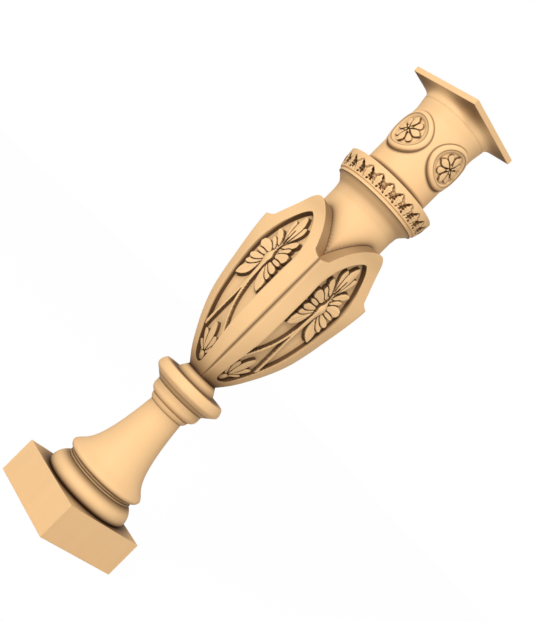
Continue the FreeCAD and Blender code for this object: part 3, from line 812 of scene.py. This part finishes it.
# The studio: a white floor and white surroundings, a large soft light from the upper left in front
# and a weak one to fill the shade. Its sizes are in metres.
floor_half = 6.0
floor_corners = [(-floor_half, -floor_half, 0), (floor_half, -floor_half, 0),
                 (floor_half, floor_half, 0), (-floor_half, floor_half, 0)]
floor_mesh = bpy.data.meshes.new("floor")
floor_mesh.from_pydata(floor_corners, [], [(0, 1, 2, 3)])
floor = bpy.data.objects.new("floor", floor_mesh)
bpy.context.scene.collection.objects.link(floor)


def white_floor():
    """White cloth that shows the camera plain white where it is lit, and keeps the object's shadow."""
    material = bpy.data.materials.new("white floor")
    material.use_nodes = True
    nodes, links = material.node_tree.nodes, material.node_tree.links
    shader = nodes["Principled BSDF"]
    shader.inputs["Base Color"].default_value = (0.5, 0.5, 0.5, 1.0)
    shader.inputs["Roughness"].default_value = 0.9
    glow = nodes.new("ShaderNodeEmission")
    glow.inputs["Strength"].default_value = 1.08
    path = nodes.new("ShaderNodeLightPath")
    seen = nodes.new("ShaderNodeMath")
    seen.operation = "MAXIMUM"
    links.new(path.outputs["Is Camera Ray"], seen.inputs[0])
    links.new(path.outputs["Is Glossy Ray"], seen.inputs[1])
    part = nodes.new("ShaderNodeMath")
    part.operation = "MULTIPLY"
    part.inputs[1].default_value = 0.88
    links.new(seen.outputs["Value"], part.inputs[0])
    blend = nodes.new("ShaderNodeMixShader")
    links.new(part.outputs["Value"], blend.inputs["Fac"])
    links.new(shader.outputs["BSDF"], blend.inputs[1])
    links.new(glow.outputs["Emission"], blend.inputs[2])
    links.new(blend.outputs["Shader"], nodes["Material Output"].inputs["Surface"])
    return material


floor_mesh.materials.append(white_floor())

scene = bpy.context.scene
scene.view_settings.view_transform = "Standard"
world = bpy.data.worlds.new("studio")
scene.world = world
world.use_nodes = True
sky_nodes, sky_links = world.node_tree.nodes, world.node_tree.links
sky = sky_nodes["Background"]
sky.inputs["Color"].default_value = (1.0, 1.0, 1.0, 1.0)
sky.inputs["Strength"].default_value = 0.55
white = sky_nodes.new("ShaderNodeBackground")
white.inputs["Color"].default_value = (1.0, 1.0, 1.0, 1.0)
white.inputs["Strength"].default_value = 1.0
sight = sky_nodes.new("ShaderNodeLightPath")
either = sky_nodes.new("ShaderNodeMixShader")
sky_links.new(sight.outputs["Is Camera Ray"], either.inputs["Fac"])
sky_links.new(sky.outputs["Background"], either.inputs[1])
sky_links.new(white.outputs["Background"], either.inputs[2])
sky_links.new(either.outputs["Shader"], sky_nodes["World Output"].inputs["Surface"])

baluster_middle = Vector((0, 0, 0.36))


def soft_light(name, place, size, power):
    """A square light that faces the middle of the baluster."""
    lamp = bpy.data.lights.new(name, "AREA")
    lamp.size = size
    lamp.energy = power
    holder = bpy.data.objects.new(name, lamp)
    holder.location = place
    aim = baluster_middle - Vector(place)
    holder.rotation_mode = "QUATERNION"
    holder.rotation_quaternion = aim.to_track_quat("-Z", "Y")
    scene.collection.objects.link(holder)


soft_light("key", (1.8, -4.0, 2.2), 1.7, 170.0)
soft_light("fill", (2.2, -0.2, 0.7), 1.6, 9.0)


# The camera: level with the middle of the baluster, a corner of the plinth towards it, and rolled so
# that the baluster leans across the picture. Its sizes are in metres.
camera_distance = 1.3219
camera_height = 0.3597
roll_up, roll_side = 0.70827, 0.70594
camera_data = bpy.data.cameras.new("camera")
camera_data.lens = 61.47
camera_data.sensor_width = 36.0
camera_data.shift_x = 0.0134
camera_data.shift_y = 0.0107
camera = bpy.data.objects.new("camera", camera_data)
towards = Vector((-1, 1, 0)).normalized()
level_right = Vector((1, 1, 0)).normalized()
upright = Vector((0, 0, 1))
image_right = roll_up * upright + roll_side * level_right
image_up = roll_side * upright - roll_up * level_right
camera_place = upright * camera_height - towards * camera_distance
camera.matrix_world = Matrix((
    (image_right.x, image_up.x, -towards.x, camera_place.x),
    (image_right.y, image_up.y, -towards.y, camera_place.y),
    (image_right.z, image_up.z, -towards.z, camera_place.z),
    (0, 0, 0, 1)))
scene.collection.objects.link(camera)
scene.camera = camera
